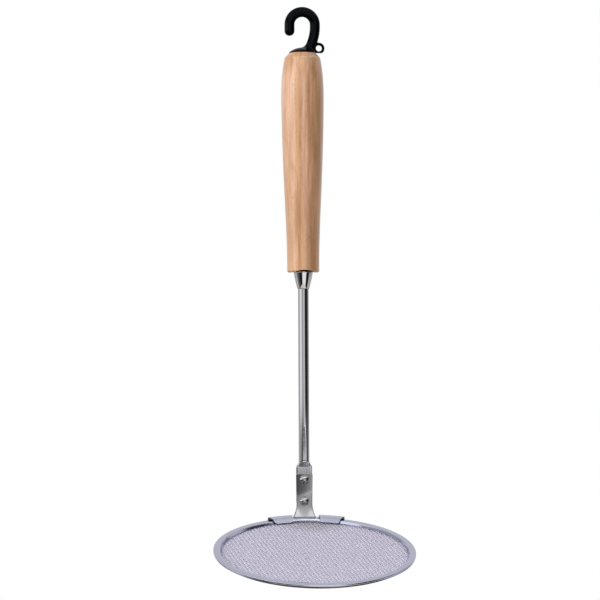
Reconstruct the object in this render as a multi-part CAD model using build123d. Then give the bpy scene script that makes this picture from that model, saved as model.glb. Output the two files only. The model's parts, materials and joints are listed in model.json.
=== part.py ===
from build123d import *
import os
from math import cos, floor, hypot, pi, radians, sin, sqrt

# Round fine-mesh skimmer, hanging by its hook.
# Millimetres, +Z up along the handle, +X to the right, the dish leans towards -Y.
# The origin is the hook's bearing point, at the top of its throat.

# Hook moulding
hook_section = 5.75  # diameter of the bow's round section
hook_throat = 8.7  # clear width inside the bow
hook_tip_run = 3.5  # straight run from the bow to the middle of the rounded tip
hook_drop = 20.4  # throat top down to the handle's top face
shank_run = 0.9  # straight run below the bow, on the shank's side
shank_bend_radius = 26.0
foot_diameter = 15.2
foot_edge = 0.35  # upright edge of the foot, below its dome
foot_rise = 2.8  # height of the foot's dome
ring_hole = 3.4  # hole of the small moulded ring
ring_wall = 1.55
ring_thickness = 2.2  # front to back, also of the web that joins it to the shank and the foot
ring_edge_round = 0.7
ring_offset = 9.4  # ring's middle, from the handle's axis
plug_diameter = 6.6
plug_length = 20.0
plug_rib_count = 4
plug_rib_proud = 0.35
plug_rib_length = 1.4

# Wooden handle
handle_length = 124.2
handle_top_flat = 14.8  # diameter of the flat top
shoulder_chamfer = 2.7
shoulder_round = 2.2
shoulder_top_round = 0.7
handle_max_diameter = 24.0
handle_end_diameter = 18.3
handle_end_round = 1.1
handle_neck_diameter = 21.7  # just below the shoulder
handle_mid_diameter = 21.2
belly_share = 0.265  # where the handle is thickest, as a share of its length from the top
neck_share = 0.055
mid_share = 0.62
recess_depth = 2.2  # round the ferrule
end_arch_width = 13.2  # the lower end is hollowed from front to back by a shallow arch
end_arch_rise = 1.4

# Ferrule
ferrule_diameter = 11.0
ferrule_length = 9.3  # what stands below the handle
ferrule_collar = 0.5  # how far its widest part goes into the handle's recess
spigot_wall = 1.1  # narrower top of the ferrule, glued into the handle
spigot_length = 3.0
ferrule_lip = 0.25  # wall at the ferrule's lower end
ferrule_crown = 0.17  # how far its side bulges past a straight cone

# Tube
tube_diameter = 6.1
tube_wall = 0.7
tang_length = 56.0  # hidden in the handle
tube_reach = 107.0  # handle's lower end to the start of the pressed shoulder
shoulder_length = 3.1
press_gap = 0.1  # slit left between the pressed walls
facet_length = 21.0  # faint flat that grows towards the shoulder
facet_depth = 0.22
flat_tail = 4.2  # pressed end past the lower rivet's centre

# Neck bracket, one sheet piece
bracket_sheet = 1.0
plate_width = 9.5  # at its top edge
neck_width = 9.0  # where the flare starts
plate_top_margin = 3.4  # plate's top edge to the upper rivet's centre
plate_corner = 0.9
flat_above_plate = 3.6  # pressed end that shows above the plate
rivet_pitch = 12.2
lower_rivet_to_rim = 9.0  # lower rivet's centre to the rim's top edge
flare_width = 13.0
flare_height = 7.4
band_degrees = 23.5  # half the angle that the band covers on the rim
tab_start_degrees = 8.2
tab_skew_degrees = 1.6  # how much shorter each end is at the tab's inner edge
tab_mesh_gap = 0.15

# Rivets
rivet_shank = 3.0
rivet_head = 5.3
rivet_head_rise = 1.3
rivet_tail = 4.6
rivet_tail_rise = 0.8
rivet_head_edge = 0.15  # upright edge under each dome

# Dish
dish_diameter = 110.0
dish_tilt_degrees = 13.3  # how far the dish's normal leans from the handle's axis
rim_sheet = 0.45
rim_wall = 1.5  # upright outer wall
rim_rise = 1.6  # rim's top above the mesh
rim_top_width = 3.5
rim_slope_run = 0.95  # inner leaf, from the crease to the mesh
rim_underside_run = 2.4  # sloped part of the underside
rim_round_share = 0.33  # rounding of the wall's edges, as a share of the wall
wire_diameter = 0.4
mesh_grip_gap = 0.3  # mesh's edge to the end of the flat seat
net_pitch = 5.75
net_gap_share = 0.71  # side of each gap, as a share of the pitch
net_turn_degrees = 34.0
net_least_gap_share = 0.12  # smaller cut-off gaps at the edge are left solid

# Clearances
fit_gap = 0.05  # between curved faces of pieces that are pressed or riveted together
recess_gap = 0.35  # round the ferrule in the handle's recess
overrun = 2.0  # how far every cut runs past what it cuts

# Heights, from the throat's top down
handle_top = -hook_drop
handle_end = handle_top - handle_length
shoulder_start = handle_end - tube_reach
flat_start = shoulder_start - shoulder_length
plate_top = flat_start - flat_above_plate
upper_rivet_z = plate_top - plate_top_margin
lower_rivet_z = upper_rivet_z - rivet_pitch
rim_top_z = lower_rivet_z - lower_rivet_to_rim

# The ferrule's narrow top
spigot_radius = tube_diameter / 2 + fit_gap + spigot_wall

# Depths of the pressed end and the plate
flat_thickness = 2 * tube_wall + press_gap
flat_width = pi * (tube_diameter - tube_wall) / 2 + tube_wall
plate_back = -flat_thickness / 2
plate_front = plate_back - bracket_sheet

# The dish's own frame: Z along its normal, Y towards the neck, zero at the rim's underside
mesh_thickness = 2 * wire_diameter
mesh_low = rim_sheet
mesh_top = mesh_low + mesh_thickness
rim_height = mesh_top + rim_rise
dish_radius = dish_diameter / 2
crease_radius = dish_radius - rim_top_width
mouth_radius = crease_radius - rim_slope_run
tilt = radians(dish_tilt_degrees)
dish_normal = Vector(0, -sin(tilt), cos(tilt))
dish_back = Vector(0, cos(tilt), sin(tilt))
rim_touch = Vector(0, plate_front, rim_top_z)
dish_centre = rim_touch - dish_back * (dish_radius + fit_gap) - dish_normal * rim_height
dish_plane = Plane(origin=dish_centre, x_dir=(1, 0, 0), z_dir=dish_normal)


def drawn(*edges):
    """A flat face from edges that close on themselves."""
    return make_face(Curve() + list(edges))


def turned(section):
    """A section drawn as radius and height, turned about the upright axis."""
    return revolve(Plane.XZ * section, Axis.Z)


def bar(radius, low, high):
    """An upright cylinder on the handle's axis, between two heights."""
    return Pos(0, 0, low) * Cylinder(radius, high - low, align=(Align.CENTER, Align.CENTER, Align.MIN))


def hanging_hook():
    section = hook_section / 2
    bow = (hook_throat + hook_section) / 2
    bow_z = -hook_throat / 2
    tip = Vector(-bow, 0, bow_z - hook_tip_run)
    shank_top = Vector(bow, 0, bow_z - shank_run)

    # The shank bends in until its middle reaches the foot's underside, and is cut level there.
    def shank_middle(height):
        drop = min(shank_top.Z - height, shank_bend_radius)
        return shank_top.X - shank_bend_radius + sqrt(shank_bend_radius**2 - drop**2)

    shank_end = Vector(shank_middle(handle_top), 0, handle_top)
    path = Curve() + [
        Line(tip, (-bow, 0, bow_z)),
        ThreePointArc((-bow, 0, bow_z), (0, 0, bow_z + bow), (bow, 0, bow_z)),
        Line((bow, 0, bow_z), shank_top),
        TangentArc(shank_top, shank_end, tangent=(0, 0, -1)),
    ]
    rod = sweep(Plane(origin=tip, z_dir=(0, 0, 1)) * Circle(section), path=path)
    rod += Pos(tip) * Sphere(section)
    rod -= bar(hook_throat + hook_section, handle_top - hook_section, handle_top)

    foot_radius = foot_diameter / 2
    edge_z = handle_top + foot_edge
    dome_radius = (foot_radius**2 + foot_rise**2) / (2 * foot_rise)
    half = foot_radius / 2
    half_z = edge_z + sqrt(dome_radius**2 - half**2) - (dome_radius - foot_rise)
    foot = turned(
        drawn(
            Line((0, handle_top), (foot_radius, handle_top)),
            Line((foot_radius, handle_top), (foot_radius, edge_z)),
            ThreePointArc((foot_radius, edge_z), (half, half_z), (0, edge_z + foot_rise)),
            Line((0, edge_z + foot_rise), (0, handle_top)),
        )
    )

    # The ring lies just clear of the handle's chamfered shoulder, which falls at 45 degrees.
    ring_radius = ring_hole / 2 + ring_wall
    ring_z = handle_top + handle_top_flat / 2 - ring_offset + sqrt(2) * (ring_radius + fit_gap)
    ring_place = Pos(ring_offset, 0, ring_z) * Rot(X=90)
    ring = Cylinder(ring_radius, ring_thickness)
    ring = ring_place * fillet(ring.edges().filter_by(GeomType.CIRCLE), ring_edge_round)
    eye = ring_place * Cylinder(ring_hole / 2, hook_section + 2 * overrun)

    # A web joins the ring to the shank and the foot.
    web_top = ring_z + ring_radius - ring_wall
    web_section = Polygon(
        (shank_end.X, handle_top),
        (ring_offset - ring_hole / 2, handle_top),
        (ring_offset - ring_hole / 2, web_top),
        (shank_middle(web_top), web_top),
        align=None,
    )
    web = extrude(Plane.XZ * web_section, amount=ring_thickness / 2, both=True)

    plug = bar(plug_diameter / 2, handle_top - plug_length, handle_top)
    rib_step = plug_length / (plug_rib_count + 1)
    for index in range(plug_rib_count):
        rib_z = handle_top - rib_step * (index + 1)
        plug += bar(plug_diameter / 2 + plug_rib_proud, rib_z - plug_rib_length, rib_z)
    return rod + foot + web + ring - eye + plug


def wooden_handle():
    def station(diameter, share):
        return (diameter / 2, handle_top - share * handle_length)

    flat = handle_top_flat / 2
    chamfer_end = (flat + shoulder_chamfer, handle_top - shoulder_chamfer)
    side_end = (handle_end_diameter / 2, handle_end + handle_end_round)
    end_inner = handle_end_diameter / 2 - handle_end_round
    outline = drawn(
        Line((0, handle_top), (flat, handle_top)),
        Line((flat, handle_top), chamfer_end),
        Spline(
            chamfer_end,
            station(handle_neck_diameter, neck_share),
            station(handle_max_diameter, belly_share),
            station(handle_mid_diameter, mid_share),
            side_end,
        ),
        TangentArc(side_end, (end_inner, handle_end), tangent=(0, -1)),
        Line((end_inner, handle_end), (0, handle_end)),
        Line((0, handle_end), (0, handle_top)),
    )
    edge = fit_gap
    outer = [v for v in outline.vertices() if hypot(v.X - chamfer_end[0], v.Y - chamfer_end[1]) < edge]
    outline = fillet(outer, shoulder_round)
    upper = [v for v in outline.vertices() if hypot(v.X - flat, v.Y - handle_top) < edge]
    outline = fillet(upper, shoulder_top_round)
    body = turned(outline)

    # From below: the arch across the end, the ferrule's recess and seat, and the tang's bore.
    arch_radius = ((end_arch_width / 2) ** 2 + end_arch_rise**2) / (2 * end_arch_rise)
    arch = Pos(0, 0, handle_end + end_arch_rise - arch_radius) * Rot(X=90)
    body -= arch * Cylinder(arch_radius, 2 * handle_end_diameter)
    seat_top = handle_end + recess_depth + spigot_length
    below = handle_end - overrun
    body -= bar(tube_diameter / 2 + fit_gap, below, handle_end + tang_length + fit_gap)
    body -= bar(ferrule_diameter / 2 + recess_gap, below, handle_end + recess_depth)
    body -= bar(spigot_radius + fit_gap, below, seat_top)
    rib_radius = plug_diameter / 2 + plug_rib_proud
    body -= bar(rib_radius + fit_gap, handle_top - plug_length - fit_gap, handle_top + overrun)
    return body


def ferrule():
    bore = tube_diameter / 2 + fit_gap
    wide = ferrule_diameter / 2
    narrow = bore + ferrule_lip
    low = handle_end - ferrule_length
    middle = ((wide + narrow) / 2 + ferrule_crown, (handle_end + low) / 2)
    collar = handle_end + ferrule_collar
    high = handle_end + recess_depth + spigot_length
    return turned(
        drawn(
            Line((bore, low), (narrow, low)),
            ThreePointArc((narrow, low), middle, (wide, handle_end)),
            Line((wide, handle_end), (wide, collar)),
            Line((wide, collar), (spigot_radius, collar)),
            Line((spigot_radius, collar), (spigot_radius, high)),
            Line((spigot_radius, high), (bore, high)),
            Line((bore, high), (bore, low)),
        )
    )


def pressed(round_radius, width, thickness, low):
    """A tube's outer or inner form: round above the shoulder, pressed flat below it."""
    top = handle_end + tang_length
    round_part = bar(round_radius, shoulder_start, top)
    round_end = Plane.XY.offset(shoulder_start) * Circle(round_radius)
    flat_end = Plane.XY.offset(flat_start) * SlotOverall(width, thickness)
    shoulder = loft([flat_end, round_end])
    flat_part = extrude(flat_end, amount=low - flat_start)
    return round_part + shoulder + flat_part


def handle_tube():
    end_z = lower_rivet_z - flat_tail
    outside = pressed(tube_diameter / 2, flat_width, flat_thickness, end_z)
    inside = pressed(tube_diameter / 2 - tube_wall, flat_width - 2 * tube_wall, press_gap, end_z)
    tube = outside - inside

    # Two faint facets, front and back, deepest where the shoulder starts.
    radius = tube_diameter / 2
    for side in (-1, 1):
        wedge = Polygon(
            (side * (radius - facet_depth), shoulder_start),
            (side * radius, shoulder_start + facet_length),
            (side * (radius + overrun), shoulder_start + facet_length),
            (side * (radius + overrun), shoulder_start),
            align=None,
        )
        tube -= extrude(Plane.YZ * wedge, amount=tube_diameter, both=True)

    # The pressed end is rounded off and drilled for the rivets.
    middle = Pos(0, end_z + flat_width / 2)
    below = middle * Rectangle(flat_width + overrun, flat_width, align=(Align.CENTER, Align.MAX))
    corners = below - middle * Circle(flat_width / 2)
    tube -= extrude(Plane.XZ * corners, amount=flat_thickness, both=True)
    for rivet_z in (upper_rivet_z, lower_rivet_z):
        tube -= rivet_hole(rivet_z)
    return tube


def rivet_hole(rivet_z):
    return Pos(0, 0, rivet_z) * Rot(X=90) * Cylinder(rivet_shank / 2 + fit_gap, 2 * flat_width)


def rivet(rivet_z):
    """A solid rivet: domed head in front of the plate, flatter dome behind the pressed end."""

    def dome(radius, rise, seat, outward):
        edge = seat + outward * rivet_head_edge
        top = edge + outward * rise
        ball = (radius**2 + rise**2) / (2 * rise)
        half_rise = sqrt(ball**2 - (radius / 2) ** 2) - (ball - rise)
        return turned(
            drawn(
                Line((0, seat), (radius, seat)),
                Line((radius, seat), (radius, edge)),
                ThreePointArc((radius, edge), (radius / 2, edge + outward * half_rise), (0, top)),
                Line((0, top), (0, seat)),
            )
        )

    solid = bar(rivet_shank / 2, plate_front, -plate_back)
    solid += dome(rivet_head / 2, rivet_head_rise, plate_front, -1)
    solid += dome(rivet_tail / 2, rivet_tail_rise, -plate_back, 1)
    # Drawn upright, then laid along Y: its Z becomes the part's Y.
    return Pos(0, 0, rivet_z) * Rot(X=-90) * solid


def rim_outline():
    """The rim's outer section, as radius and height."""
    return Polygon(
        (mouth_radius, 0),
        (dish_radius - rim_underside_run, 0),
        (dish_radius, rim_height - rim_wall),
        (dish_radius, rim_height),
        (crease_radius, rim_height),
        (mouth_radius, mesh_top),
        align=None,
    )


def block(left, low, right, high):
    return Polygon((left, low), (right, low), (right, high), (left, high), align=None)


def rounded_outline():
    outline = rim_outline()
    wall_corners = [v for v in outline.vertices() if v.X > dish_radius - fit_gap]
    return fillet(wall_corners, rim_wall * rim_round_share)


def rim():
    section = rounded_outline()
    hollow = offset(rim_outline(), amount=-rim_sheet, kind=Kind.INTERSECTION)
    slot = block(mouth_radius - overrun, mesh_low, mouth_radius + 2 * rim_sheet, mesh_top)
    return dish_plane * turned(section - hollow - slot)


def mesh():
    """The wire cloth as one holed sheet, its gaps larger and fewer than the real ones."""
    edge = dish_radius - rim_underside_run - mesh_grip_gap
    open_circle = Circle(mouth_radius)
    side = net_pitch * net_gap_share
    reach = floor(mouth_radius / net_pitch) + 1
    gaps = []
    for column in range(-reach, reach + 1):
        for row in range(-reach, reach + 1):
            middle = Pos(column * net_pitch, row * net_pitch)
            distance = hypot(column, row) * net_pitch
            if distance > mouth_radius + side:
                continue
            gap = middle * Rectangle(side, side)
            if distance > mouth_radius - side:
                gap = gap & open_circle
            if gap.area > net_least_gap_share * side**2:
                gaps.append(gap)
    print("mesh gaps", len(gaps))
    sheet = Circle(edge) - gaps
    turned_sheet = Rot(Z=net_turn_degrees) * sheet
    return dish_plane * Pos(0, 0, mesh_low) * extrude(turned_sheet, amount=mesh_thickness)


def plan_point(radius, angle_degrees):
    """A point of the dish's plan, its angle counted from the neck towards +X."""
    angle = radians(angle_degrees)
    return (radius * sin(angle), radius * cos(angle))


def neck_bracket():
    outer_radius = dish_radius + fit_gap + bracket_sheet
    band_low = rim_height - rim_wall

    # A section wrapped over the rim: outer wall, top and inner leaf.
    wrap = offset(rim_outline(), amount=fit_gap + bracket_sheet, kind=Kind.ARC)
    wrap -= offset(rim_outline(), amount=fit_gap, kind=Kind.INTERSECTION)
    wrap -= block(0, -rim_height, dish_diameter, band_low)
    wrap -= block(0, -rim_height, dish_radius, mesh_top + tab_mesh_gap)
    wrapped = turned(wrap)

    # Each tab's ends slant towards each other, so its inner edge is the shorter one.
    tab_inner = mouth_radius - bracket_sheet - fit_gap - overrun
    plan = Polygon(
        plan_point(outer_radius + overrun, tab_start_degrees),
        plan_point(outer_radius + overrun, band_degrees),
        plan_point(tab_inner, band_degrees - tab_skew_degrees),
        plan_point(tab_inner, tab_start_degrees + tab_skew_degrees),
        align=None,
    )
    tab = wrapped & extrude(plan, amount=2 * rim_height, both=True)
    tabs = tab + mirror(tab, about=Plane.YZ)

    # The band joins both tabs outside the rim.
    band_plan = Circle(outer_radius) - Circle(dish_radius + fit_gap)
    band_plan &= Polygon(
        (0, 0),
        plan_point(dish_diameter, -band_degrees),
        plan_point(dish_diameter, band_degrees),
        align=None,
    )
    band = Pos(0, 0, band_low) * extrude(band_plan, amount=rim_wall)
    wrap_part = dish_plane * (tabs + band)

    # The neck plate stands in front of the pressed tube and flares into the band.
    half = plate_width / 2
    neck = neck_width / 2
    flare = flare_width / 2
    flare_top = rim_top_z + flare_height
    plate_low = rim_top_z - 2 * rim_height
    right = drawn(
        Line((0, plate_top), (half, plate_top)),
        Line((half, plate_top), (neck, flare_top)),
        TangentArc((neck, flare_top), (flare, rim_top_z), tangent=(neck - half, flare_top - plate_top)),
        Line((flare, rim_top_z), (flare, plate_low)),
        Line((flare, plate_low), (0, plate_low)),
        Line((0, plate_low), (0, plate_top)),
    )
    plan = right + mirror(right, about=Plane.YZ)
    top_corners = [v for v in plan.vertices() if v.Y > plate_top - fit_gap and abs(v.X) > fit_gap]
    plan = fillet(top_corners, plate_corner)
    plate = Pos(0, plate_back, 0) * extrude(Plane.XZ * plan, amount=bracket_sheet)
    rim_room = dish_plane * Pos(0, 0, rim_height) * Cylinder(
        dish_radius + fit_gap, 4 * rim_height, align=(Align.CENTER, Align.CENTER, Align.MAX)
    )
    under_band = dish_plane * Pos(0, 0, band_low) * Box(
        dish_diameter, 2 * dish_diameter, 4 * rim_height, align=(Align.CENTER, Align.CENTER, Align.MAX)
    )
    plate = plate - rim_room - under_band
    bracket = plate + wrap_part
    for rivet_z in (upper_rivet_z, lower_rivet_z):
        bracket -= rivet_hole(rivet_z)
    return bracket


nodes = {
    "hanging_hook": hanging_hook(),
    "wooden_handle": wooden_handle(),
    "ferrule": ferrule(),
    "handle_tube": handle_tube(),
    "neck_bracket": neck_bracket(),
    "upper_rivet": rivet(upper_rivet_z),
    "lower_rivet": rivet(lower_rivet_z),
    "rim": rim(),
    "mesh": mesh(),
}

os.makedirs("parts", exist_ok=True)
for name, shape in nodes.items():
    export_step(shape, f"parts/{name}.step")
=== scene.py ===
import bpy
import json
import math
import random
import numpy as np
import openvdb
from mathutils import Euler, Matrix, Vector


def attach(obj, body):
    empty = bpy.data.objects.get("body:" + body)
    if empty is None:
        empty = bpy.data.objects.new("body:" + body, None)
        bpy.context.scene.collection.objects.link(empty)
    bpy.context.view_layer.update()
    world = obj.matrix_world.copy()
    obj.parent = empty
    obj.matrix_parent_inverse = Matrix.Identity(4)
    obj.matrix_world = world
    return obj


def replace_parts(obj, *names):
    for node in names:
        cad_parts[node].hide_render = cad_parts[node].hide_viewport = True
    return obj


# Round fine-mesh skimmer: camera, studio, materials and the pieces that stand for CAD nodes.
# Lengths are in millimetres here and become metres where a mesh is made.

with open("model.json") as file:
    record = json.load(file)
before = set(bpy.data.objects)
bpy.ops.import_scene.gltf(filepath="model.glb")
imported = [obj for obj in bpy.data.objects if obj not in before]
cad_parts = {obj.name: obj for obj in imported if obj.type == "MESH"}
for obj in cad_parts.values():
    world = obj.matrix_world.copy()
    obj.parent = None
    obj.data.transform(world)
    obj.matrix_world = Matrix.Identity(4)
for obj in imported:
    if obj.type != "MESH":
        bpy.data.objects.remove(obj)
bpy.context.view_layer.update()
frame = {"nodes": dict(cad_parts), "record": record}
MM = 0.001

# ---------------------------------------------------------------- sizes from the part's source

# Hook moulding
HOOK_SECTION = 5.75
HOOK_THROAT = 8.7
HOOK_TIP_RUN = 3.5
SHANK_RUN = 0.9
SHANK_BEND = 26.0
FOOT_DIAMETER = 15.2
FOOT_EDGE = 0.35
FOOT_RISE = 2.8
RING_HOLE = 3.4
RING_WALL = 1.55
RING_THICKNESS = 2.2
RING_OFFSET = 9.4
PLUG_DIAMETER = 6.6
PLUG_LENGTH = 20.0
PLUG_RIBS = 4
RIB_PROUD = 0.35
RIB_LENGTH = 1.4

# Handle and ferrule
HANDLE_TOP = -20.4
HANDLE_LENGTH = 124.2
HANDLE_TOP_FLAT = 14.8
FERRULE_DIAMETER = 11.0
FERRULE_LENGTH = 9.3
FERRULE_COLLAR = 0.5
FERRULE_LIP = 0.25
FERRULE_CROWN = 0.17
SPIGOT_TOP = 5.2  # above the handle's lower end
SPIGOT_WALL = 1.1

# Tube
TUBE_DIAMETER = 6.1
TUBE_WALL = 0.7
TANG_LENGTH = 56.0
TUBE_REACH = 107.0
SHOULDER_LENGTH = 3.1
FACET_LENGTH = 21.0
FACET_DEPTH = 0.16  # less than the source's, and reached sooner
FLAT_THICKNESS = 1.5
FLAT_TAIL = 4.2

# Neck bracket and rivets
BRACKET_SHEET = 1.0
PLATE_FRONT = -1.75
PLATE_WIDTH = 9.5
PLATE_CORNER = 0.9
PLATE_MARGIN = 3.4  # top edge to the upper rivet's centre
FLAT_ABOVE_PLATE = 3.6
NECK_WIDTH = 9.0
FLARE_WIDTH = 13.0
FLARE_HEIGHT = 7.4
BAND_DEGREES = 23.5
TAB_START_DEGREES = 8.2
TAB_SKEW_DEGREES = 1.6
RIVET_PITCH = 12.2
RIVET_TO_RIM = 9.0  # lower rivet's centre to the rim's top edge
RIVET_SHANK = 3.0
RIVET_HEAD = 5.3
RIVET_HEAD_RISE = 1.3
RIVET_TAIL = 4.6
RIVET_TAIL_RISE = 0.8
RIVET_EDGE = 0.15

# Dish: radii from its middle, heights above the rim's underside
DISH_RADIUS = 55.0
DISH_TILT = math.radians(13.3)
CREASE_RADIUS = 51.5
MOUTH_RADIUS = 50.55
RIM_SHEET = 0.45
RIM_WALL = 1.5
RIM_HEIGHT = 2.85
RIM_UNDERSIDE_RUN = 2.4
MESH_TOP = 1.25
FIT_GAP = 0.05

# Heights that follow
HANDLE_END = HANDLE_TOP - HANDLE_LENGTH
SHOULDER_START = HANDLE_END - TUBE_REACH
FLAT_START = SHOULDER_START - SHOULDER_LENGTH
PLATE_TOP = FLAT_START - FLAT_ABOVE_PLATE
RIVET_HEIGHTS = (PLATE_TOP - PLATE_MARGIN, PLATE_TOP - PLATE_MARGIN - RIVET_PITCH)
RIM_TOP_Z = RIVET_HEIGHTS[1] - RIVET_TO_RIM

dish_normal = Vector((0, -math.sin(DISH_TILT), math.cos(DISH_TILT)))
dish_back = Vector((0, math.cos(DISH_TILT), math.sin(DISH_TILT)))
rim_touch = Vector((0, PLATE_FRONT, RIM_TOP_Z))
dish_centre = rim_touch - dish_back * (DISH_RADIUS + FIT_GAP) - dish_normal * RIM_HEIGHT
dish_turn = Matrix(((1, 0, 0), dish_back, dish_normal)).transposed().to_4x4()
dish_place = Matrix.Translation(dish_centre) @ dish_turn

# ---------------------------------------------------------------- camera

CAMERA_AZIMUTH = math.radians(-5.7)
CAMERA_DISTANCE = 1300.0
CAMERA_HEIGHT = -160.2
CAMERA_ROLL = math.radians(-0.25)
AXIS_OFFSET = -1.9  # how far right of the handle's axis the camera stands
FOCAL_PIXELS, FRAME_PIXELS, SENSOR = 2296.0, 600.0, 36.0

camera_data = bpy.data.cameras.new("camera")
camera_data.sensor_width = SENSOR
camera_data.lens = FOCAL_PIXELS / FRAME_PIXELS * SENSOR
camera_data.clip_start, camera_data.clip_end = 0.05, 20.0
camera = bpy.data.objects.new("camera", camera_data)
bpy.context.scene.collection.objects.link(camera)
back = Vector((math.sin(CAMERA_AZIMUTH), -math.cos(CAMERA_AZIMUTH), 0))
right = Vector((math.cos(CAMERA_AZIMUTH), math.sin(CAMERA_AZIMUTH), 0))
camera.location = (back * CAMERA_DISTANCE + right * AXIS_OFFSET + Vector((0, 0, CAMERA_HEIGHT))) * MM
turn = Euler((math.pi / 2, 0, CAMERA_AZIMUTH)).to_matrix() @ Matrix.Rotation(CAMERA_ROLL, 3, "Z")
camera.rotation_euler = turn.to_euler()
bpy.context.scene.camera = camera
bpy.context.scene.view_settings.view_transform = "Standard"


# ---------------------------------------------------------------- node helpers

def connect(socket, value):
    """Links a node or one of its outputs to an input, or sets the input's own value."""
    if isinstance(value, bpy.types.Node):
        value = value.outputs[0]
    if isinstance(value, bpy.types.NodeSocket):
        socket.id_data.links.new(value, socket)
    else:
        socket.default_value = value


def material_nodes(tree):
    """A function that adds a node and sets its inputs by name or number."""
    tree.nodes.clear()

    def add(kind, inputs=None, **settings):
        node = tree.nodes.new(kind)
        for key, value in settings.items():
            setattr(node, key, value)
        for key, value in (inputs or {}).items():
            connect(node.inputs[key], value)
        return node

    return add


def rgba(colour):
    return (*colour, 1)


def ramp(add, factor, stops):
    """A colour ramp from (position, colour or grey) stops."""
    node = add("ShaderNodeValToRGB", {0: factor})
    elements = node.color_ramp.elements
    while len(elements) < len(stops):
        elements.new(1.0)
    for element, (position, colour) in zip(elements, stops):
        element.position = position
        element.color = rgba((colour,) * 3 if isinstance(colour, (int, float)) else colour)
    return node


def mixed(add, factor, first, second):
    """A mix of two colours, each a socket, a node or three numbers."""
    node = add("ShaderNodeMix", data_type="RGBA")
    for index, value in ((0, factor), (6, first), (7, second)):
        connect(node.inputs[index], rgba(value) if isinstance(value, tuple) else value)
    return node.outputs[2]


def maths(add, operation, *values):
    return add("ShaderNodeMath", dict(enumerate(values)), operation=operation)


def mapped(add, value, low, high, first=0.0, last=1.0, **settings):
    """A value's run from low to high, as a run from first to last."""
    return add("ShaderNodeMapRange", {0: value, 1: low, 2: high, 3: first, 4: last}, **settings)


def object_space(add, scale):
    """The object's own metres, stretched by a scale."""
    coordinates = add("ShaderNodeTexCoord")
    return add("ShaderNodeMapping", {"Vector": coordinates.outputs["Object"], "Scale": scale})


def noise(add, scale, detail, roughness=0.5):
    """Noise whose grain is finer along an axis with a larger scale."""
    inputs = {"Vector": object_space(add, scale), "Scale": 1.0, "Detail": detail, "Roughness": roughness}
    return add("ShaderNodeTexNoise", inputs)


def bumped(add, height, strength, distance):
    return add("ShaderNodeBump", {"Height": height, "Strength": strength, "Distance": distance})


def material(name, build):
    made = bpy.data.materials.new(name)
    made.use_nodes = True
    add = material_nodes(made.node_tree)
    add("ShaderNodeOutputMaterial", {"Surface": build(add)})
    return made


# ---------------------------------------------------------------- studio

def share(degrees):
    """Place of a direction on a ring's ramp, in degrees to the right of the camera."""
    return 0.5 + (degrees + math.degrees(CAMERA_AZIMUTH)) / 360


def ring_of_boxes(behind, *stops):
    """A ring's ramp: its tone straight behind the object, and tones at degrees to the right."""
    return [(0.0, behind), *((share(degrees), tone) for degrees, tone in stops), (1.0, behind)]


# Tones: what surfaces see all round, and in gloss a backdrop, a dark card, and two warm cards
AMBIENT = 0.34
BACKDROP, DARK = 0.86, 0.015
BROWN, CREAM = (0.15, 0.115, 0.085), (1.22, 1.06, 0.84)

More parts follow.
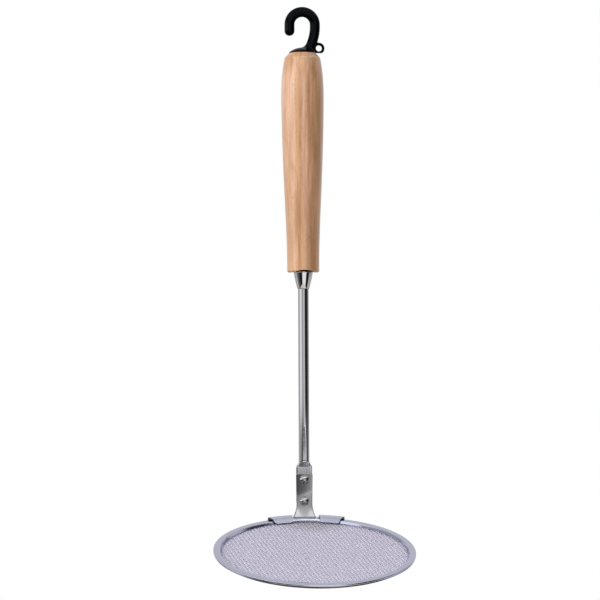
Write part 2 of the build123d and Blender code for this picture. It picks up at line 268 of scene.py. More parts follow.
# Gloss sees these rings of soft boxes and dark cards, from the ground up. Each fades in between two
# heights of the direction.
GLOSS_RINGS = [
    (None, ring_of_boxes(
        0.2,
        (-110, 0.2), (-85, 0.03), (14, 0.03), (24, 0.5), (58, 0.5), (68, 0.03), (130, 0.03), (150, 0.2),
    )),
    ((-0.66, -0.62), ring_of_boxes(
        0.3,
        (-100, 0.5), (-64, 0.05), (-56, CREAM), (80, CREAM), (88, 0.05), (110, 0.5),
    )),
    ((-0.51, -0.49), ring_of_boxes(
        0.04,
        (-150, 0.04), (-130, 0.5), (-115, BACKDROP), (-96, BACKDROP), (-80, 0.26), (-60, 0.12), (-42, 0.03),
        (-36, DARK), (-16, DARK), (-8, 1.5), (33, 1.5), (42, DARK), (72, DARK),
        (84, BACKDROP * 0.8), (115, BACKDROP), (130, 0.5), (150, 0.04),
    )),
    ((-0.26, -0.14), ring_of_boxes(
        BACKDROP,
        (-110, 0.68), (-52, 0.34), (-36, 0.05), (0, 0.15), (12, 0.3), (20, 0.6), (27, 1.2), (36, 1.3),
        (48, 0.2), (82, 0.12), (114, 0.48), (150, BACKDROP),
    )),
    ((-0.0725, -0.0695), ring_of_boxes(
        BACKDROP,
        (-106, 0.68), (-76, 0.45), (-52, 0.33), (-34, 0.01), (-14, 0.02), (-4, 0.2), (6, 1.2), (11, 1.6),
        (20, 1.9), (32, 1.9), (38, 1.1), (50, 0.2), (82, 0.12), (114, 0.48), (150, BACKDROP),
    )),
    ((-0.058, -0.048), ring_of_boxes(
        BACKDROP,
        (-92, 0.6), (-80, 1.35), (-50, 1.4), (-36, 0.92), (-20, 0.52), (-6, 0.75), (6, 1.0), (21, 0.95),
        (31, 0.03), (84, 0.03), (106, 0.36), (150, BACKDROP),
    )),
    ((0.02, 0.05), ring_of_boxes(
        BACKDROP,
        (-150, 0.9), (-128, 1.2), (-100, 2.0), (-62, 3.1), (-46, 2.4), (-34, 0.8), (-14, 0.5), (-4, 1.35),
        (20, 1.35), (26, 0.4), (34, 0.03), (84, 0.03), (106, 0.36), (150, BACKDROP),
    )),
    ((0.085, 0.115), ring_of_boxes(
        BACKDROP,
        (-150, 0.9), (-128, 1.2), (-100, 1.8), (-62, 3.4), (-46, 2.3), (-34, 0.8), (-14, 0.5), (-2, 2.7),
        (18, 2.2), (26, 0.3), (34, 0.03), (84, 0.03), (106, 0.36), (150, BACKDROP),
    )),
    ((0.2, 0.3), ring_of_boxes(
        BACKDROP,
        (-110, 0.6), (-59, 0.3), (-54, 1.4), (-30, 1.6), (-10, 1.5), (-4, BROWN), (26, BROWN), (30, 1.0),
        (50, 1.0), (56, 0.04), (88, 0.04), (100, BACKDROP),
    )),
    ((0.5, 0.53), ring_of_boxes(
        BACKDROP,
        (-110, BACKDROP), (-60, 1.6), (-14, 1.8), (-6, 3.4), (30, 3.4), (38, 1.8), (60, 1.6), (110, BACKDROP),
    )),
    ((0.66, 0.8), ring_of_boxes(BACKDROP)),
]


def studio_world():
    """White to the camera, a plain level on surfaces, and a studio with soft boxes and cards in gloss."""
    white = (1, 1, 1)
    world = bpy.data.worlds.new("studio")
    world.use_nodes = True
    add = material_nodes(world.node_tree)
    path = add("ShaderNodeLightPath")
    direction = add("ShaderNodeSeparateXYZ", {0: add("ShaderNodeTexCoord").outputs["Generated"]})
    x, y, z = direction.outputs
    # 0.5 is straight in front of the object, 0 and 1 straight behind it, and more is further right.
    angle = maths(add, "ARCTAN2", x, maths(add, "MULTIPLY", y, -1.0))
    turn_share = maths(add, "MULTIPLY_ADD", angle, 0.5 / math.pi, 0.5)
    room = ramp(add, turn_share, GLOSS_RINGS[0][1])
    for (low, high), stops in GLOSS_RINGS[1:]:
        room = mixed(add, mapped(add, z, low, high), room, ramp(add, turn_share, stops))
    seen = mixed(add, path.outputs["Is Glossy Ray"], (AMBIENT,) * 3, room)
    seen = mixed(add, path.outputs["Is Camera Ray"], seen, white)
    seen = mixed(add, path.outputs["Is Transmission Ray"], seen, white)
    background = add("ShaderNodeBackground", {"Color": seen, "Strength": 1.0})
    add("ShaderNodeOutputWorld", {"Surface": background})
    bpy.context.scene.world = world


LAMP_DISTANCE = 900.0
LAMP_AIM = Vector((0, -20, CAMERA_HEIGHT))


def lamp(name, power, size, azimuth, elevation):
    """A soft square lamp aimed at the middle of the object, seen by surfaces but not in gloss."""
    data = bpy.data.lights.new(name, "AREA")
    data.shape, data.size, data.energy = "SQUARE", size * MM, power
    made = bpy.data.objects.new(name, data)
    bpy.context.scene.collection.objects.link(made)
    a, e = math.radians(azimuth), math.radians(elevation)
    towards = Vector((math.sin(a) * math.cos(e), -math.cos(a) * math.cos(e), math.sin(e)))
    made.location = (towards * LAMP_DISTANCE + LAMP_AIM) * MM
    made.rotation_euler = towards.to_track_quat("Z", "Y").to_euler()
    made.visible_glossy = False
    made.visible_camera = False


def floor():
    """A plain pale floor below the hanging object, white to the camera."""
    size, height, tone = 6000.0, -420.0, 0.8
    data = bpy.data.meshes.new("floor")
    half = size / 2 * MM
    corners = [(-half, -half, 0), (half, -half, 0), (half, half, 0), (-half, half, 0)]
    data.from_pydata(corners, [], [(0, 1, 2, 3)])
    made = bpy.data.objects.new("floor", data)
    bpy.context.scene.collection.objects.link(made)
    made.location.z = height * MM
    made.visible_glossy = False

    def build(add):
        path = add("ShaderNodeLightPath")
        matt = add("ShaderNodeBsdfDiffuse", {"Color": (tone, tone, tone, 1)})
        white = add("ShaderNodeEmission", {"Color": (1, 1, 1, 1), "Strength": 1.0})
        return add("ShaderNodeMixShader", {0: path.outputs["Is Camera Ray"], 1: matt, 2: white})

    data.materials.append(material("pale_floor", build))


studio_world()
lamp("key", 5.7, 600, -58, 22)
lamp("fill", 1.2, 900, 40, 10)
lamp("top", 1.6, 800, 0, 75)
floor()


# ---------------------------------------------------------------- materials

def lacquered_wood(add):
    """Beech: streaks, pink patches, fine grain and short dark flecks, under a clear coat, with painted shade
    in the recess round the ferrule.
    """
    def tinted(colour, strength, value, other):
        return mixed(add, maths(add, "MULTIPLY", value, strength), colour, other)

    fine = noise(add, (1700, 1700, 65), 4.0, 0.6)
    streaks = noise(add, (620, 620, 22), 3.0, 0.55)
    broad = noise(add, (150, 150, 7), 2.0)
    patches = noise(add, (230, 230, 45), 3.0)
    flecked = noise(add, (420, 420, 60), 1.0)
    flecks = add("ShaderNodeTexVoronoi", {
        "Vector": object_space(add, (1900, 1900, 330)), "Scale": 1.0, "Randomness": 1.0,
    })
    fleck = mapped(add, flecks.outputs["Distance"], 0.30, 0.12)
    fleck = maths(add, "MULTIPLY", fleck, mapped(add, flecked.outputs[0], 0.48, 0.62))
    colour = mixed(add, mapped(add, streaks, 0.38, 0.62), (0.44, 0.195, 0.068), (0.71, 0.375, 0.178))
    colour = tinted(colour, 0.5, mapped(add, broad, 0.35, 0.65), (0.63, 0.31, 0.112))
    colour = tinted(colour, 0.5, mapped(add, patches, 0.5, 0.62), (0.76, 0.385, 0.225))
    colour = tinted(colour, 0.5, mapped(add, fine, 0.38, 0.64), (0.42, 0.20, 0.08))
    colour = tinted(colour, 0.85, fleck, (0.17, 0.07, 0.03))

    # Painted shade: the wood's colour is darkened in the recess round the ferrule, where it lies in shade.
    recess_radius, recess_fade, recess_depth, depth_fade = 6.2, 0.8, 5.0, 1.0
    place = add("ShaderNodeSeparateXYZ", {0: add("ShaderNodeTexCoord").outputs["Object"]})
    squares = [maths(add, "POWER", place.outputs[axis], 2.0) for axis in (0, 1)]
    across = maths(add, "SQRT", maths(add, "ADD", *squares))
    inside = mapped(add, across, (recess_radius + recess_fade) * MM, recess_radius * MM)
    recess_top = HANDLE_END + recess_depth
    low = mapped(add, place.outputs[2], (recess_top + depth_fade) * MM, recess_top * MM)
    # The painted shade's near-black brown is mixed in inside the recess.
    colour = mixed(add, maths(add, "MULTIPLY", inside, low), colour, (0.07, 0.03, 0.012))

    return add("ShaderNodeBsdfPrincipled", {
        "Base Color": colour, "Roughness": mapped(add, fine, 0.3, 0.7, 0.5, 0.4),
        "Normal": bumped(add, fine, 0.25, 0.0002), "Specular IOR Level": 0.3,
        "Coat Weight": 1.0, "Coat Roughness": 0.28, "Coat IOR": 2.0,
    })


def metal(base, roughness, spread, brush=(700, 700, 700), bump_strength=0.05, tint=0.08):
    """Steel: fine marks that vary its roughness, and clouds that vary its colour, a little."""
    def build(add):
        marks = noise(add, brush, 4.0, 0.6)
        clouds = noise(add, (110, 110, 110), 2.0)
        darker = tuple(c * 0.7 for c in base)
        return add("ShaderNodeBsdfPrincipled", {
            "Base Color": mixed(add, maths(add, "MULTIPLY", clouds, tint), base, darker),
            "Roughness": mapped(add, marks, 0.3, 0.7, roughness - spread, roughness + spread),
            "Normal": bumped(add, marks, bump_strength, 0.0001), "Metallic": 1.0,
        })
    return build


def wire_steel(add):
    """Bright wire, with painted shade on the cloth in front of the neck, where the plate and tabs shade it.
    """
    neck_shade_centre = (4 * MM, PLATE_FRONT * MM, RIM_TOP_Z * MM)
    marks = noise(add, (700, 700, 700), 4.0)
    away = add("ShaderNodeVectorMath", {
        0: add("ShaderNodeTexCoord").outputs["Object"], 1: neck_shade_centre,
    }, operation="DISTANCE").outputs["Value"]
    # Painted shade: the wire's colour darkens towards the neck and fades out 26 mm from it.
    painted_neck_shade = mapped(add, away, 8 * MM, 26 * MM, 0.8, 0.0, interpolation_type="SMOOTHSTEP")
    return add("ShaderNodeBsdfPrincipled", {
        "Base Color": mixed(add, painted_neck_shade, (0.69, 0.66, 0.80), (0.44, 0.425, 0.47)), "Metallic": 0.4,
        "Roughness": mapped(add, marks, 0.3, 0.7, 0.46, 0.56), "Specular IOR Level": 0.3,
    })


def bracket_steel(base, low, high):
    """Pressed sheet with a few dull clouds, and painted shade on the marked edge faces; low and high limit
    its roughness.
    """
    def build(add):
        marks = noise(add, (900, 900, 900), 4.0)
        clouds = noise(add, (260, 260, 150), 2.0)
        darker = tuple(c * 0.6 for c in base)
        colour = mixed(add, maths(add, "MULTIPLY", clouds, 0.2), base, darker)
        cut = add("ShaderNodeAttribute", attribute_name="painted_edge_shade").outputs["Fac"]
        return add("ShaderNodeBsdfPrincipled", {
            # Painted shade: the marked cut faces are mixed towards near black, for the shade in the gap under
            # and beside the tabs.
            "Base Color": mixed(add, maths(add, "MULTIPLY", cut, 0.85), colour, (0.06, 0.06, 0.07)),
            "Roughness": mapped(add, marks, 0.3, 0.7, low, high),
            "Normal": bumped(add, clouds, 0.07, 0.0002), "Metallic": 1.0,
        })
    return build


def plastic(add):
    """Black moulded plastic with a faint texture and slow waves in its gloss."""
    texture = noise(add, (1500, 1500, 1500), 3.0)
    waves = noise(add, (160, 160, 160), 1.0)
    return add("ShaderNodeBsdfPrincipled", {
        "Base Color": mixed(add, waves, (0.0008, 0.0008, 0.0014), (0.002, 0.002, 0.0034)),
        "Roughness": mapped(add, waves, 0.35, 0.65, 0.13, 0.19),
        "Normal": bumped(add, texture, 0.05, 0.0001),
        "Specular IOR Level": 0.06, "Specular Tint": (0.75, 0.86, 1.0, 1),
    })


looks = {
    "black_plastic": material("moulded_black", plastic),
    "beech": material("lacquered_beech", lacquered_wood),
    "polished_steel": material(
        "polished_steel_look", metal((0.50, 0.49, 0.51), 0.06, 0.02, (1800, 1800, 60), 0.005),
    ),
    "satin_steel": material(
        "satin_steel_look", metal((0.455, 0.47, 0.595), 0.18, 0.04, (900, 900, 900), 0.02, 0.3),
    ),
    "rivet_steel": material("rivet_steel_look", metal((0.33, 0.325, 0.33), 0.10, 0.03)),
    "wire_cloth": material("wire_look", wire_steel),
}
# Painted shade: the neck plate's sheet steel has a darker colour than the clip's, though both are one stamped
# sheet.
shaded_plate_look = material("shaded_plate_steel_look", bracket_steel((0.295, 0.297, 0.31), 0.08, 0.12))
clip_look = material("clip_steel_look", bracket_steel((0.51, 0.525, 0.65), 0.2, 0.3))

slots = {entry["node"]: entry["material_slot"] for entry in frame["record"]["subparts"]}
for name, item in frame["nodes"].items():
    item.data.materials.clear()
    item.data.materials.append(looks[slots[name]])


# ---------------------------------------------------------------- piece helpers

def inside_out(vertices, faces):
    """Whether a closed mesh faces inwards, by the sign of its volume."""
    points = np.asarray([tuple(v) for v in vertices], float)
    volume = 0.0
    for size in {len(face) for face in faces}:
        rows = points[np.asarray([face for face in faces if len(face) == size])]
        for k in range(1, size - 1):
            volume += np.einsum("ij,ij->", rows[:, 0], np.cross(rows[:, k], rows[:, k + 1]))
    return volume < 0


def piece(name, vertices, faces, slot):
    """A mesh piece in millimetres, turned to metres, facing outwards and riding on the only body."""
    if inside_out(vertices, faces):
        faces = [face[::-1] for face in faces]
    data = bpy.data.meshes.new(name)
    points = [tuple(c * MM for c in v) for v in vertices]
    data.from_pydata(points, [], [tuple(int(i) for i in face) for face in faces])
    data.validate()
    made = bpy.data.objects.new(name, data)
    bpy.context.scene.collection.objects.link(made)
    data.materials.append(looks[slot])
    data.polygons.foreach_set("use_smooth", [True] * len(data.polygons))
    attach(made, "root")
    return made


def loops(name, rings, slot, first_corner=0):
    """A closed piece from equal rings of points, with a cap at each end.

    The first corner sets along which diagonal the side faces split.
    """
    count = len(rings[0])
    vertices = [v for ring in rings for v in ring]
    faces = []
    for i in range(len(rings) - 1):
        here, there = i * count, (i + 1) * count
        for k in range(count):
            after = (k + 1) % count
            corners = (here + k, there + k, there + after, here + after)
            faces.append(corners[first_corner:] + corners[:first_corner])
    faces.append(list(range(count)))
    faces.append([(len(rings) - 1) * count + k for k in reversed(range(count))])
    return piece(name, vertices, faces, slot)


def lathe(name, outline, slot, segments=160, place=Matrix.Identity(4)):
    """A closed outline of (radius, height) points turned round the local Z axis."""
    count = len(outline)
    vertices, faces = [], []
    for k in range(segments):
        angle = 2 * math.pi * k / segments
        c, d = math.cos(angle), math.sin(angle)
        vertices.extend(place @ Vector((r * c, r * d, h)) for r, h in outline)
        here, there = k * count, (k + 1) % segments * count
        for i in range(count):
            after = (i + 1) % count
            faces.append((here + i, here + after, there + after, there + i))
    return piece(name, vertices, faces, slot)


def rounded(points, radii, steps=6):
    """A closed outline with its corners rounded, each by its own radius."""
    outline = []
    for index, corner in enumerate(points):
        radius = radii[index]
        here = Vector(corner)
        if radius <= 0:
            outline.append(tuple(here))
            continue
        a = (Vector(points[index - 1]) - here).normalized()
        b = (Vector(points[(index + 1) % len(points)]) - here).normalized()
        half = a.angle(b) / 2
        reach = radius / math.tan(half)
        centre = here + (a + b).normalized() * radius / math.sin(half)
        start, end = here + a * reach - centre, here + b * reach - centre
        whole = start.angle_signed(end)
        for step in range(steps + 1):
            turned_by = Matrix.Rotation(-whole * step / steps, 2)
            outline.append(tuple(centre + turned_by @ start))
    return outline


def smooth_step(value):
    value = min(max(value, 0), 1)
    return value * value * (3 - 2 * value)


# ---------------------------------------------------------------- wire cloth

NET_TURN = math.radians(-35.0)
NET_PITCH = 1.54
NET_WIRE = 0.4
NET_REACH = 51.9  # ends of the wires, inside the rim's fold
NET_DRIFT = 0.03  # how far a wire strays from its place
POINTS_PER_PITCH = 4
WIRE_SIDES = 6


def round_wires(paths):
    """Vertices and faces of round wires along paths that run near a plane whose normal is +Z."""
    vertices, faces = [], []
    angles = [2 * math.pi * k / WIRE_SIDES for k in range(WIRE_SIDES)]
    radius = NET_WIRE / 2
    for path in paths:
        path = np.asarray(path, float)
        along = np.gradient(path, axis=0)
        along /= np.linalg.norm(along, axis=1, keepdims=True)
        side = np.cross((0, 0, 1), along)
        side /= np.linalg.norm(side, axis=1, keepdims=True)
        upward = np.cross(along, side)
        start = len(vertices)
        for centre, s, u in zip(path, side, upward):
            vertices.extend(centre + radius * (math.cos(a) * s + math.sin(a) * u) for a in angles)
        for step in range(len(path) - 1):
            here, there = start + step * WIRE_SIDES, start + (step + 1) * WIRE_SIDES
            for k in range(WIRE_SIDES):
                after = (k + 1) % WIRE_SIDES
                faces.append((here + k, here + after, there + after, there + k))
        faces.append([start + k for k in reversed(range(WIRE_SIDES))])
        faces.append([start + (len(path) - 1) * WIRE_SIDES + k for k in range(WIRE_SIDES)])
    return vertices, faces


def wire_cloth():
    """Plain-woven cloth: each wire waves over and under the wires that it crosses."""
    height = RIM_SHEET + NET_WIRE
    draw = random.Random(7)
    count = int(NET_REACH / NET_PITCH)
    drift = {(d, i): draw.uniform(-NET_DRIFT, NET_DRIFT) for d in (0, 1) for i in range(-count, count + 1)}
    spin = Matrix.Rotation(NET_TURN, 3, "Z")
    for direction, name in ((0, "mesh_warp_wires"), (1, "mesh_weft_wires")):
        sign = 1 if direction == 0 else -1
        paths = []
        for index in range(-count, count + 1):
            across = index * NET_PITCH
            half = math.sqrt(NET_REACH**2 - across**2)
            steps = int(half / NET_PITCH * POINTS_PER_PITCH)
            inner = (k * NET_PITCH / POINTS_PER_PITCH for k in range(-steps, steps + 1))
            points = []
            for place in (-half, *inner, half):
                wave = math.cos(math.pi * (place / NET_PITCH + index)) * NET_WIRE / 2 * sign
                flat = (place, across + drift[direction, index], height + wave)
                points.append(spin @ Vector(flat if direction == 0 else (flat[1], flat[0], flat[2])))
            paths.append(points)
        vertices, faces = round_wires(paths)
        vertices = [dish_place @ Vector(v) for v in vertices]
        made = piece(name, vertices, faces, "wire_cloth")
        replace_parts(made, "mesh")


# ---------------------------------------------------------------- hook

def smooth_union(a, b, reach):
    """Two distance fields joined with a rounded inside corner."""
    h = np.clip(0.5 + 0.5 * (b - a) / reach, 0, 1)
    return b * (1 - h) + a * h - reach * h * (1 - h)


def bow_line():
    """The bow's middle line as (x, z), from the tip over the top and down through the foot."""
    bow = (HOOK_THROAT + HOOK_SECTION) / 2
    bow_z = -HOOK_THROAT / 2
    bend_x, bend_z = bow - SHANK_BEND, bow_z - SHANK_RUN
    turns = np.linspace(0, math.pi, 160)
    sweep = np.linspace(0, math.radians(42), 120)
    return np.concatenate([
        [(-bow, h) for h in np.linspace(bow_z - HOOK_TIP_RUN, bow_z, 30)],
        np.stack([-bow * np.cos(turns), bow_z + bow * np.sin(turns)], 1),
        [(bow, h) for h in np.linspace(bow_z, bend_z, 10)],
        np.stack([bend_x + SHANK_BEND * np.cos(sweep), bend_z - SHANK_BEND * np.sin(sweep)], 1),
    ])


def moulded_hook():
    """The hook as one moulding with rounded inside corners, from distance fields on a fine grid."""
    voxel = 0.2
    low, high = np.array((-10.9, -8.4, -41.4)), np.array((14.0, 8.4, 6.6))
    axes = [np.arange(a, b, voxel) for a, b in zip(low, high)]
    x, y, z = np.meshgrid(*axes, indexing="ij", sparse=True)

    gx, gz = np.meshgrid(axes[0], axes[2], indexing="ij")
    plane = np.full(gx.shape, 1e9)
    for px, pz in bow_line():
        plane = np.minimum(plane, (gx - px) ** 2 + (gz - pz) ** 2)
    rod = np.sqrt(plane[:, None, :] + y**2) - HOOK_SECTION / 2

    around = np.sqrt(x**2 + y**2)
    foot_radius, edge_z = FOOT_DIAMETER / 2, HANDLE_TOP + FOOT_EDGE
    ball = (foot_radius**2 + FOOT_RISE**2) / (2 * FOOT_RISE)
    dome = np.sqrt(x**2 + y**2 + (z - (edge_z + FOOT_RISE - ball)) ** 2) - ball
    foot = np.maximum(dome, around - foot_radius)

    # The small ring, which rests on the handle's chamfer, and the web that joins it to the shank
    ring_round, web_from = 0.6, 2.5
    ring_radius = RING_HOLE / 2 + RING_WALL
    ring_z = HANDLE_TOP + HANDLE_TOP_FLAT / 2 - RING_OFFSET + math.sqrt(2) * (ring_radius + FIT_GAP)
    from_eye = np.sqrt((x - RING_OFFSET) ** 2 + (z - ring_z) ** 2)
    qa = np.abs(from_eye - (RING_HOLE + RING_WALL) / 2) - (RING_WALL / 2 - ring_round)
    qb = np.abs(y) - (RING_THICKNESS / 2 - ring_round)
    outside = np.sqrt(np.maximum(qa, 0) ** 2 + np.maximum(qb, 0) ** 2)
    ring = outside + np.minimum(np.maximum(qa, qb), 0) - ring_round
    web = np.maximum.reduce(np.broadcast_arrays(
        x - RING_OFFSET, web_from - x, z - (ring_z + RING_HOLE / 2), np.abs(y) - RING_THICKNESS / 2,
    ))

    foot_fillet, web_fillet, ring_fillet = 2.2, 0.9, 0.5
    body = smooth_union(rod, foot, foot_fillet)
    body = smooth_union(body, web, web_fillet)
    body = smooth_union(body, ring, ring_fillet)
    body = np.maximum(body, RING_HOLE / 2 - from_eye)
    body = np.maximum(body, HANDLE_TOP - z)

    plug_overlap = 1.0
    plug = np.maximum(around - PLUG_DIAMETER / 2, HANDLE_TOP - PLUG_LENGTH - z)
    for index in range(PLUG_RIBS):
        rib_z = HANDLE_TOP - PLUG_LENGTH / (PLUG_RIBS + 1) * (index + 1) - RIB_LENGTH / 2
        rib = np.maximum(around - PLUG_DIAMETER / 2 - RIB_PROUD, np.abs(z - rib_z) - RIB_LENGTH / 2)
        plug = np.minimum(plug, rib)
    body = np.minimum(body, np.maximum(plug, z - HANDLE_TOP - plug_overlap))

    # A light blur keeps the grid's faces clean where the plug's ribs are sharp.
    for axis in range(3):
        body = (np.roll(body, 1, axis) + 2 * body + np.roll(body, -1, axis)) / 4
    field = openvdb.FloatGrid(1.0)
    field.copyFromArray(np.clip(body, -1.0, 1.0).astype(np.float32))
    points, quads = field.convertToQuads(0.0)
    made = piece("moulded_hook", low + np.asarray(points) * voxel, np.asarray(quads), "black_plastic")
    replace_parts(made, "hanging_hook")


# ---------------------------------------------------------------- ferrule and tube

def arc_through(a, b, c, steps):
    """Points of the circle's arc from a over b to c."""
    (ax, ay), (bx, by), (cx, cy) = a, b, c
    d = 2 * (ax * (by - cy) + bx * (cy - ay) + cx * (ay - by))
    ux = ((ax**2 + ay**2) * (by - cy) + (bx**2 + by**2) * (cy - ay) + (cx**2 + cy**2) * (ay - by)) / d
    uy = ((ax**2 + ay**2) * (cx - bx) + (bx**2 + by**2) * (ax - cx) + (cx**2 + cy**2) * (bx - ax)) / d
    centre = Vector((ux, uy))
    start, end = Vector((ax - ux, ay - uy)), Vector((cx - ux, cy - uy))
    whole = start.angle_signed(end)
    return [tuple(centre + Matrix.Rotation(-whole * k / steps, 2) @ start) for k in range(steps + 1)]


def polished_ferrule():
    """A drawn cone with a soft lower lip, and a narrow top that is glued into the handle."""
    lip_rise, lip_inset, collar_round = 0.12, 0.1, 0.2
    bore, wide = TUBE_DIAMETER / 2 + FIT_GAP, FERRULE_DIAMETER / 2
    narrow, low = bore + FERRULE_LIP, HANDLE_END - FERRULE_LENGTH
    middle = ((wide + narrow) / 2 + FERRULE_CROWN, (HANDLE_END + low) / 2)
    side = arc_through((narrow, low + lip_rise), middle, (wide, HANDLE_END), 40)
    spigot, collar_top = bore + SPIGOT_WALL, HANDLE_END + FERRULE_COLLAR
    collar = rounded([(wide, HANDLE_END), (wide, collar_top), (spigot, collar_top)], [0, collar_round, 0])[1:]
    top = HANDLE_END + SPIGOT_TOP
    outline = [(bore, low), (narrow - lip_inset, low), *side, *collar, (spigot, top), (bore, top)]
    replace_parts(lathe("polished_ferrule", outline, "polished_steel"), "ferrule")


def stadium(width, thickness, count):
    """Points round a slot shape, evenly spaced, from the middle of its front."""
    radius = min(thickness, width) / 2
    straight = max(width - thickness, 0)
    whole = 2 * straight + 2 * math.pi * radius
    # Each leg starts at an x and runs right (1) or left (-1), or turns (0) on the side that its sign gives.
    legs = (
        (0, 1, 1, straight / 2), (straight / 2, 0, 1, math.pi * radius), (straight / 2, -1, 1, straight),
        (-straight / 2, 0, -1, math.pi * radius), (-straight / 2, 1, -1, straight / 2),
    )
    points = []
    for k in range(count):
        at = whole * k / count
        for x0, direction, sign, run in legs:
            if at <= run + 1e-9:
                break
            at -= run
        if direction == 0:
            angle = at / radius
            points.append((x0 + sign * radius * math.sin(angle), -sign * radius * math.cos(angle)))
        else:
            points.append((x0 + direction * at, -direction * radius))
    return points


def pressed_tube():
    """The tube: round, with two faint flats that grow downwards, then pressed flat over a short shoulder."""
    count, radius = 96, TUBE_DIAMETER / 2
    soft = 0.02  # how softly the faint flats meet the round sides
    press_lead = 0.35  # the pressing starts a little above the shoulder
    width = math.pi * (TUBE_DIAMETER - TUBE_WALL) / 2 + TUBE_WALL
    end = RIVET_HEIGHTS[1] - FLAT_TAIL
    round_from = end + width / 2
    heights = [HANDLE_END + TANG_LENGTH, HANDLE_END, HANDLE_END - 20]
    heights += list(np.linspace(SHOULDER_START + FACET_LENGTH, SHOULDER_START + 0.4, 30))
    heights += list(np.linspace(SHOULDER_START, FLAT_START - 0.5, 26))
    heights += [round_from + 6, round_from]
    heights += [round_from - width / 2 * math.sin(a) for a in np.linspace(0.05, math.pi / 2 - 0.02, 24)]
    angles = [2 * math.pi * k / count for k in range(count)]
    circle = [(radius * math.sin(a), -radius * math.cos(a)) for a in angles]

    def flattened(y, flat):
        """A point's depth on the round tube, held back by a faint flat."""
        if flat <= 0:
            return y
        limit = radius - flat
        over = abs(y) - limit
        bent = limit - soft * (1 - math.exp(-max(over, 0) / soft)) + min(over, 0) + soft * (over > 0)
        return math.copysign(bent, y)

    rings = []
    for height in heights:
        grown = min(max((SHOULDER_START + FACET_LENGTH - height) / FACET_LENGTH, 0), 1)
        flat = (1 - (1 - grown) ** 2) * FACET_DEPTH
        press = min(max((SHOULDER_START + press_lead - height) / (SHOULDER_LENGTH + press_lead), 0), 1)
        press = press * press * (2 - press)
        here = width
        if height < round_from:
            here = 2 * math.sqrt(max((width / 2) ** 2 - (round_from - height) ** 2, 0.01))
        slot = stadium(here, min(FLAT_THICKNESS, here), count)
        ring = []
        for (cx, cy), (sx, sy) in zip(circle, slot):
            cy = flattened(cy, flat)
            ring.append((cx + (sx - cx) * press, cy + (sy - cy) * press, height))
        rings.append(ring)
    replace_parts(loops("pressed_tube", rings, "polished_steel", 1), "handle_tube")


# ---------------------------------------------------------------- rim and rivets

def folded_rim():
    """The rim's band with soft bends, open at its mouth for the cloth."""
    lip_end, fold_end = MOUTH_RADIUS + 0.52, MOUTH_RADIUS + 2.2
    corners = [
        # radius, height, bend radius
        (MOUTH_RADIUS, 0, 0.15),
        (DISH_RADIUS - RIM_UNDERSIDE_RUN, 0, 0.9),
        (DISH_RADIUS, RIM_HEIGHT - RIM_WALL, 0.9),
        (DISH_RADIUS, RIM_HEIGHT, 0.5),
        (CREASE_RADIUS, RIM_HEIGHT, 0.6),
        (MOUTH_RADIUS, MESH_TOP, 0.12),
        (lip_end, MESH_TOP, 0),
        (fold_end, MESH_TOP, 0),
        (fold_end, RIM_SHEET, 0),
        (MOUTH_RADIUS, RIM_SHEET, 0.15),
    ]
    outline = rounded([(r, h) for r, h, _ in corners], [bend for _, _, bend in corners])
    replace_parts(lathe("folded_rim", outline, "satin_steel", 320, dish_place), "rim")


def dome(radius, rise, seat, outward):
    """A dome's outline from its top to its edge, on a short upright edge over its seat."""
    ball = (radius**2 + rise**2) / (2 * rise)
    reach = math.asin(radius / ball)
    outline = []
    for k in range(17):
        angle = reach * k / 16
        height = seat + outward * (RIVET_EDGE + rise - ball * (1 - math.cos(angle)))
        outline.append((max(ball * math.sin(angle), 0.001), height))
    return outline


def domed_rivets():
    """Rivet heads in front and flatter tails behind, each with a soft edge."""
    front, rear = PLATE_FRONT, FLAT_THICKNESS / 2
    head_radius, tail_radius, shank = RIVET_HEAD / 2, RIVET_TAIL / 2, RIVET_SHANK / 2
    for height, name in zip(RIVET_HEIGHTS, ("upper_rivet", "lower_rivet")):
        outline = dome(head_radius, RIVET_HEAD_RISE, front, -1)
        outline += [(head_radius, front), (shank, front), (shank, rear), (tail_radius, rear)]
        outline += reversed(dome(tail_radius, RIVET_TAIL_RISE, rear, 1))
        place = Matrix.Translation((0, 0, height)) @ Matrix.Rotation(-math.pi / 2, 4, "X")
        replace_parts(lathe("domed_" + name, outline, "rivet_steel", 64, place), name)


# ---------------------------------------------------------------- neck bracket

def plate_half_width(z):
    """Half the neck plate's width: nearly straight, flared at the rim, and rounded at its top corners."""
    flare_top = RIM_TOP_Z + FLARE_HEIGHT
    if z > flare_top:
        share_down = (PLATE_TOP - z) / (PLATE_TOP - flare_top)
        half = (PLATE_WIDTH + (NECK_WIDTH - PLATE_WIDTH) * share_down) / 2
    else:
        run = (FLARE_WIDTH - NECK_WIDTH) / 2
        drop = min(flare_top - z, FLARE_HEIGHT)
        radius = (run**2 + FLARE_HEIGHT**2) / (2 * run)
        half = NECK_WIDTH / 2 + radius - math.sqrt(radius**2 - drop**2)
    corner = z - (PLATE_TOP - PLATE_CORNER)
    if corner > 0:
        half -= PLATE_CORNER - math.sqrt(max(PLATE_CORNER**2 - corner**2, 0))
    return half


def plate_face(x, z):
    """The neck plate's front: a little convex across, with a slack bend, and bent forward to the rim."""
    crown, crown_half = 0.26, 4.6
    bend_height, bend_skew, bend_soft = 13.5, 0.35, 2.6  # the slack bend, above the rim
    bend_depth, lean, fold = 0.25, 0.00625, 0.02375
    foot_height, foot_slope, foot_step = 9.0, 0.07, 0.4  # the forward bend at the rim
    upper_z = max(z, RIM_TOP_Z)
    y = PLATE_FRONT + crown * (x / crown_half) ** 2 * smooth_step((z - RIM_TOP_Z + 1) / 7)
    above = upper_z - (RIM_TOP_Z + bend_height + bend_skew * x)
    y += bend_depth + lean * above - fold * (math.sqrt(above**2 + bend_soft**2) - bend_soft)
    down = max(RIM_TOP_Z + foot_height - upper_z, 0)
    y -= down**2 / (2 * foot_height) * foot_slope
    if z <= RIM_TOP_Z:
        below = RIM_TOP_Z - z
        y += below * math.tan(DISH_TILT) + foot_step * min(below, 1)
    return y


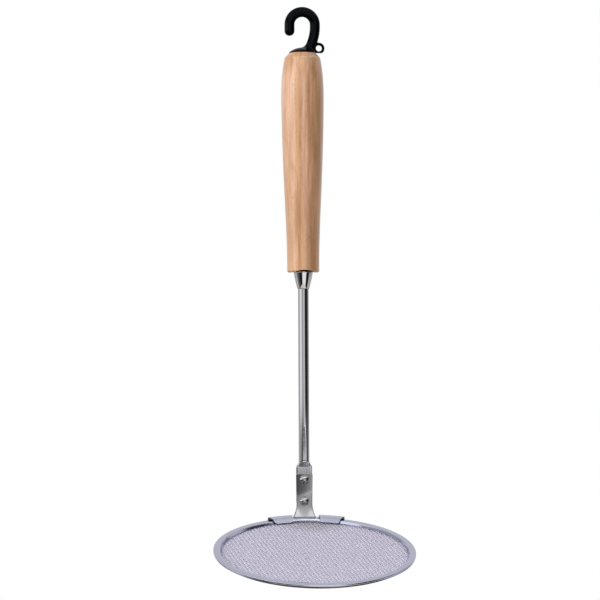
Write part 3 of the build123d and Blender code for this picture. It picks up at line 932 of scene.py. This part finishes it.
def neck_plate():
    """The stamped plate in front of the tube's flat end, with softly rounded front edges."""
    edge, rear_chamfer, reach_down = 0.28, 0.1, 1.4
    back_face, roll_from = -FLAT_THICKNESS / 2, PLATE_TOP - edge
    heights = list(np.linspace(RIM_TOP_Z - reach_down, RIM_TOP_Z, 8))[:-1]
    heights += list(np.linspace(RIM_TOP_Z, roll_from, 110))
    heights += [roll_from + edge * math.sin(a) for a in np.linspace(0.25, math.pi / 2 - 0.03, 6)]
    sweep = np.linspace(math.radians(-72), 0, 5)
    rings = []
    for z in heights:
        half = plate_half_width(z)
        rolled = z - roll_from
        roll = edge - math.sqrt(max(edge**2 - rolled**2, 0)) if rolled > 0 else 0
        flat = half - edge
        side = plate_face(flat, z) + roll
        rounding = [(flat + edge * math.cos(a), side + (edge - roll) * (1 + math.sin(a)), z) for a in sweep]
        rear = back_face
        if z < RIM_TOP_Z:
            rear += max(plate_face(0, z) - PLATE_FRONT, 0)
        ring = [(x, plate_face(x, z) + roll, z) for x in np.linspace(-flat, flat, 45)]
        ring += rounding
        ring += [(half, rear - rear_chamfer, z), (half - rear_chamfer, rear, z)]
        ring += [(x, rear, z) for x in np.linspace(flat, -flat, 13)]
        ring += [(rear_chamfer - half, rear, z), (-half, rear - rear_chamfer, z)]
        ring += [(-x, y, z) for x, y, z in reversed(rounding)]
        rings.append(ring)
    made = loops("neck_plate", rings, "satin_steel")
    made.data.materials[0] = shaded_plate_look
    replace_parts(made, "neck_bracket")


CLIP_OUTER = DISH_RADIUS + FIT_GAP + BRACKET_SHEET
CLIP_INNER = DISH_RADIUS + FIT_GAP
CLIP_LOW = RIM_HEIGHT - RIM_WALL
CORNER_STEPS = 10
TAB_RINGS = 61


def tab_section(trim):
    """The tabs' rolled section, as radius and height above the rim's underside, with the toe cut back."""
    # The slope runs down to the cloth along (run, fall), and its sheet is cut square to that.
    run, fall, sheet = -0.732, -0.681, 0.85
    crown, toe_radius, toe_height = RIM_HEIGHT + 1.5, 48.95, MESH_TOP + 0.42 + 0.35
    toe = (toe_radius - run * trim, toe_height - fall * trim)
    corners = [
        # radius, height, bend radius
        (CLIP_OUTER, CLIP_LOW, 0.3),
        (CLIP_OUTER, crown, 1.3),
        (51.4, crown - 0.05, 3.0),
        (*toe, 0.1),
        (toe[0] - fall * sheet, toe[1] + run * sheet, 0.1),
        (51.8, crown - 0.95, 1.4),
        (CLIP_INNER, crown - 0.9, 0.5),
        (CLIP_INNER, CLIP_LOW, 0.3),
    ]
    return rounded([(r, h) for r, h, _ in corners], [bend for _, _, bend in corners], CORNER_STEPS)


def cut_back(distance, corner):
    """How far a tab's rounded corner lies behind its toe, at a distance from the tab's end."""
    short = max(corner - distance, 0)
    return corner - math.sqrt(corner**2 - short**2)


def tab_rings(side, tab_from, tab_to, near_corner, far_corner):
    """A tab's sections round the rim, between two angles, closer together near its ends."""
    toe_reach, skew_to = 49, 48.7
    length = math.radians(tab_to - tab_from - 2 * TAB_SKEW_DEGREES) * toe_reach
    rings = []
    for step in range(TAB_RINGS):
        along = 0.5 - 0.5 * math.cos(math.pi * step / (TAB_RINGS - 1))
        trim = max(cut_back(length * along, near_corner), cut_back(length * (1 - along), far_corner))
        ring = []
        for radius, height in tab_section(trim):
            skew = TAB_SKEW_DEGREES * (CLIP_OUTER - radius) / (CLIP_OUTER - skew_to)
            first, last = tab_from + skew, tab_to - skew
            angle = math.radians(first + (last - first) * along) * side
            ring.append(dish_place @ Vector((radius * math.sin(angle), radius * math.cos(angle), height)))
        rings.append(ring)
    return rings if side < 0 else rings[::-1]


def band_rings():
    """The low band behind the rim, which joins the tabs."""
    outer, inner, low = CLIP_OUTER - 0.04, CLIP_INNER + 0.02, CLIP_LOW + 0.04
    corners = [(outer, low), (outer, RIM_HEIGHT), (inner, RIM_HEIGHT), (inner, low)]
    section = rounded(corners, [0.2, 0.3, 0.1, 0.1])
    sweep = np.radians(np.linspace(TAB_START_DEGREES + 0.6, -TAB_START_DEGREES - 0.3, 31))
    return [[dish_place @ Vector((r * math.sin(a), r * math.cos(a), h)) for r, h in section] for a in sweep]


def mark_shaded_edges(made, count):
    """Marks a tab's end caps and its toe's end face, between the section's fourth and fifth corners, for
    painted shade.
    """
    toe_from, toe_to = (corner * (CORNER_STEPS + 1) + CORNER_STEPS // 2 for corner in (3, 4))
    sides = len(made.data.polygons) - 2
    cut = [float(toe_from <= number % count <= toe_to) for number in range(sides)] + [1.0, 1.0]
    made.data.attributes.new("painted_edge_shade", "FLOAT", "FACE").data.foreach_set("value", cut)


def soften(made):
    """Rounds the sharp edges, with the faces between them kept flat to the eye."""
    bevel = made.modifiers.new("soft_edges", "BEVEL")
    bevel.width, bevel.segments, bevel.limit_method = 0.1 * MM, 3, "ANGLE"
    bevel.angle_limit = math.radians(30)
    bevel.harden_normals = True


def rim_clip():
    """The bracket's band behind the rim, and its two tabs folded over it."""
    # The left tab sits a little nearer the neck, and its corners are rounder.
    rings_of = {
        "left_tab": tab_rings(-1, TAB_START_DEGREES - 1.1, BAND_DEGREES - 1.3, 1.1, 1.9),
        "right_tab": tab_rings(1, TAB_START_DEGREES, BAND_DEGREES, 0.6, 0.8),
        "rim_band": band_rings(),
    }
    for name, rings in rings_of.items():
        made = loops(name, rings, "satin_steel")
        made.data.materials[0] = clip_look
        if name != "rim_band":
            mark_shaded_edges(made, len(rings[0]))
            soften(made)
        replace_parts(made, "neck_bracket")


# ---------------------------------------------------------------- build

wire_cloth()
moulded_hook()
polished_ferrule()
pressed_tube()
folded_rim()
domed_rivets()
neck_plate()
rim_clip()
